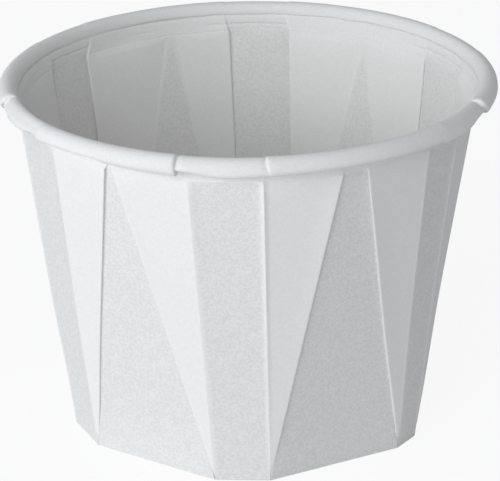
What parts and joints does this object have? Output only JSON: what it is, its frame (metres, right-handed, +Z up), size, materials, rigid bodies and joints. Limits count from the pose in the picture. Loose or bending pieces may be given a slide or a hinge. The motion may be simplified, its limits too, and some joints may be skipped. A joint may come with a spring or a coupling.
{
  "type": "paper souffle cup",
  "caption": "Small pleated paper cup with a flat floor, knife-pleated wall and outward curled rim, for handing out tablets or small portions.",
  "frame": {"origin": "centre of the floor's underside, on the surface that the cup stands on", "axes": "+Z up along the cup's axis; -Y towards the middle of a narrow panel"},
  "size_m": [0.0432, 0.0428, 0.0312],
  "materials": {
    "paper": "matt uncoated"
  },
  "bodies": {
    "root": {"souffle_cup": "paper"}
  },
  "joints": []
}
